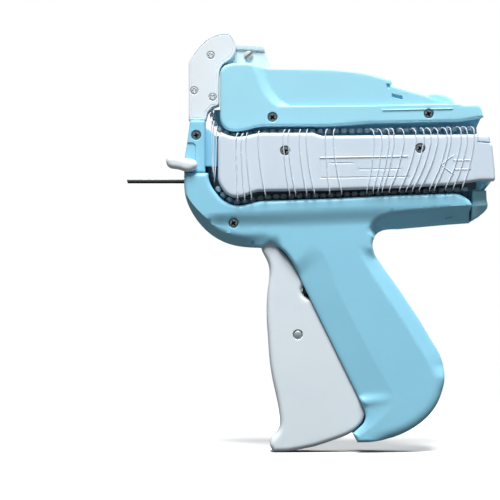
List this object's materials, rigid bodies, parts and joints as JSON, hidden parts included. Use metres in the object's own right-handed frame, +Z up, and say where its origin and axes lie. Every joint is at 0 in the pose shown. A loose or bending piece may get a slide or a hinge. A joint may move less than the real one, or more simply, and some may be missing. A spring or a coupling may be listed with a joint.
{
  "type": "garment tag attacher",
  "caption": "Hand-held pistol-grip tag attacher: hollow slotted needle, squeeze trigger driving a plunger, side magazine loaded with a clip of nylon fasteners.",
  "frame": {"origin": "where the needle's axis leaves the nose face", "axes": "+X from the needle's root towards the rear of the magazine, so the needle points along -X; +Y away from the loaded (left) side; +Z up, from grip to head"},
  "size_m": [0.1628, 0.0293, 0.1857],
  "materials": {
    "blue_shell": "satin moulded ABS, sky blue",
    "white_shell": "satin moulded ABS, cool white",
    "white_guide": "satin moulded nylon, white",
    "needle_steel": "polished hardened steel",
    "plated_steel": "zinc-plated steel",
    "lever_steel": "stamped steel",
    "spring_brass": "passivated spring wire",
    "clip_rail": "smoky translucent polypropylene",
    "clip_thread": "translucent drawn nylon",
    "grey_moulding": "moulded acetal, grey"
  },
  "bodies": {
    "housing": {"housing_left": "blue_shell", "housing_right": "blue_shell", "nose_block": "blue_shell", "upper_housing_left": "blue_shell", "upper_housing_right": "blue_shell", "magazine_core": "blue_shell", "head_body": "white_guide", "head_plate": "white_guide", "rear_guide_arm": "white_guide", "magazine_cover": "white_shell", "magazine_plate": "grey_moulding", "needle_hub": "grey_moulding", "clip_upper_rail": "clip_rail", "clip_lower_rail": "clip_rail", "clip_threads": "clip_thread", "needle": "needle_steel", "thread_knife": "lever_steel", "lever_pivot_pin": "plated_steel", "trigger_pivot_pin": "plated_steel", "feed_wheel_axle": "plated_steel", "index_spring": "lever_steel", "return_spring": "spring_brass", "casing_screws": "plated_steel", "cover_screws": "plated_steel", "head_screws": "plated_steel", "arm_screw": "plated_steel"},
    "trigger": {"trigger": "white_shell", "trigger_link_pin": "plated_steel"},
    "link": {"trigger_link": "lever_steel"},
    "lever": {"drive_lever": "lever_steel", "lever_foot_pin": "plated_steel"},
    "plunger": {"plunger_slide": "grey_moulding", "plunger_rod": "needle_steel", "slide_pin": "plated_steel"},
    "feed": {"feed_wheel": "grey_moulding"},
    "lock": {"needle_lock": "white_guide"},
    "latch": {"housing_latch": "blue_shell"}
  },
  "joints": [
    {"name": "trigger_squeeze", "type": "hinge", "parent": "housing", "child": "trigger", "pos_m": [0.03871, 0, -0.02574], "axis": [0, -1, 0], "range_deg": [0, 18], "stiffness_Nm_per_rad": 3, "springref_deg": -8.59, "deforming": ["return_spring"]},
    {"name": "link_turn", "type": "hinge", "parent": "trigger", "child": "link", "pos_m": [0.05015, 0, -0.06843], "axis": [0, -1, 0], "range_deg": [-8.5, 0]},
    {"name": "drive_lever_swing", "type": "hinge", "parent": "housing", "child": "lever", "pos_m": [0.06158, 0, -0.0426], "axis": [0, -1, 0], "range_deg": [0, 50.5]},
    {"name": "plunger_stroke", "type": "slide", "parent": "housing", "child": "plunger", "axis": [-1, 0, 0], "range_m": [0, 0.0402]},
    {"name": "feed_wheel_turn", "type": "hinge", "parent": "housing", "child": "feed", "pos_m": [0.01188, 0, -0.01166], "axis": [0, -1, 0], "continuous": true},
    {"name": "needle_lock_turn", "type": "hinge", "parent": "housing", "child": "lock", "pos_m": [0.00308, 0, 0.00625], "axis": [0, 1, 0], "range_deg": [0, 90]},
    {"name": "housing_latch_slide", "type": "slide", "parent": "housing", "child": "latch", "axis": [1, 0, 0], "range_m": [0, 0.003], "stiffness_N_per_m": 600, "springref_m": -0.001}
  ],
  "couplings": [
    {"joint": "drive_lever_swing", "follows": "trigger_squeeze", "ratio": 2.7946},
    {"joint": "link_turn", "follows": "trigger_squeeze", "ratio": -0.458},
    {"joint": "plunger_stroke", "follows": "trigger_squeeze", "m_per_rad": 0.12732}
  ]
}
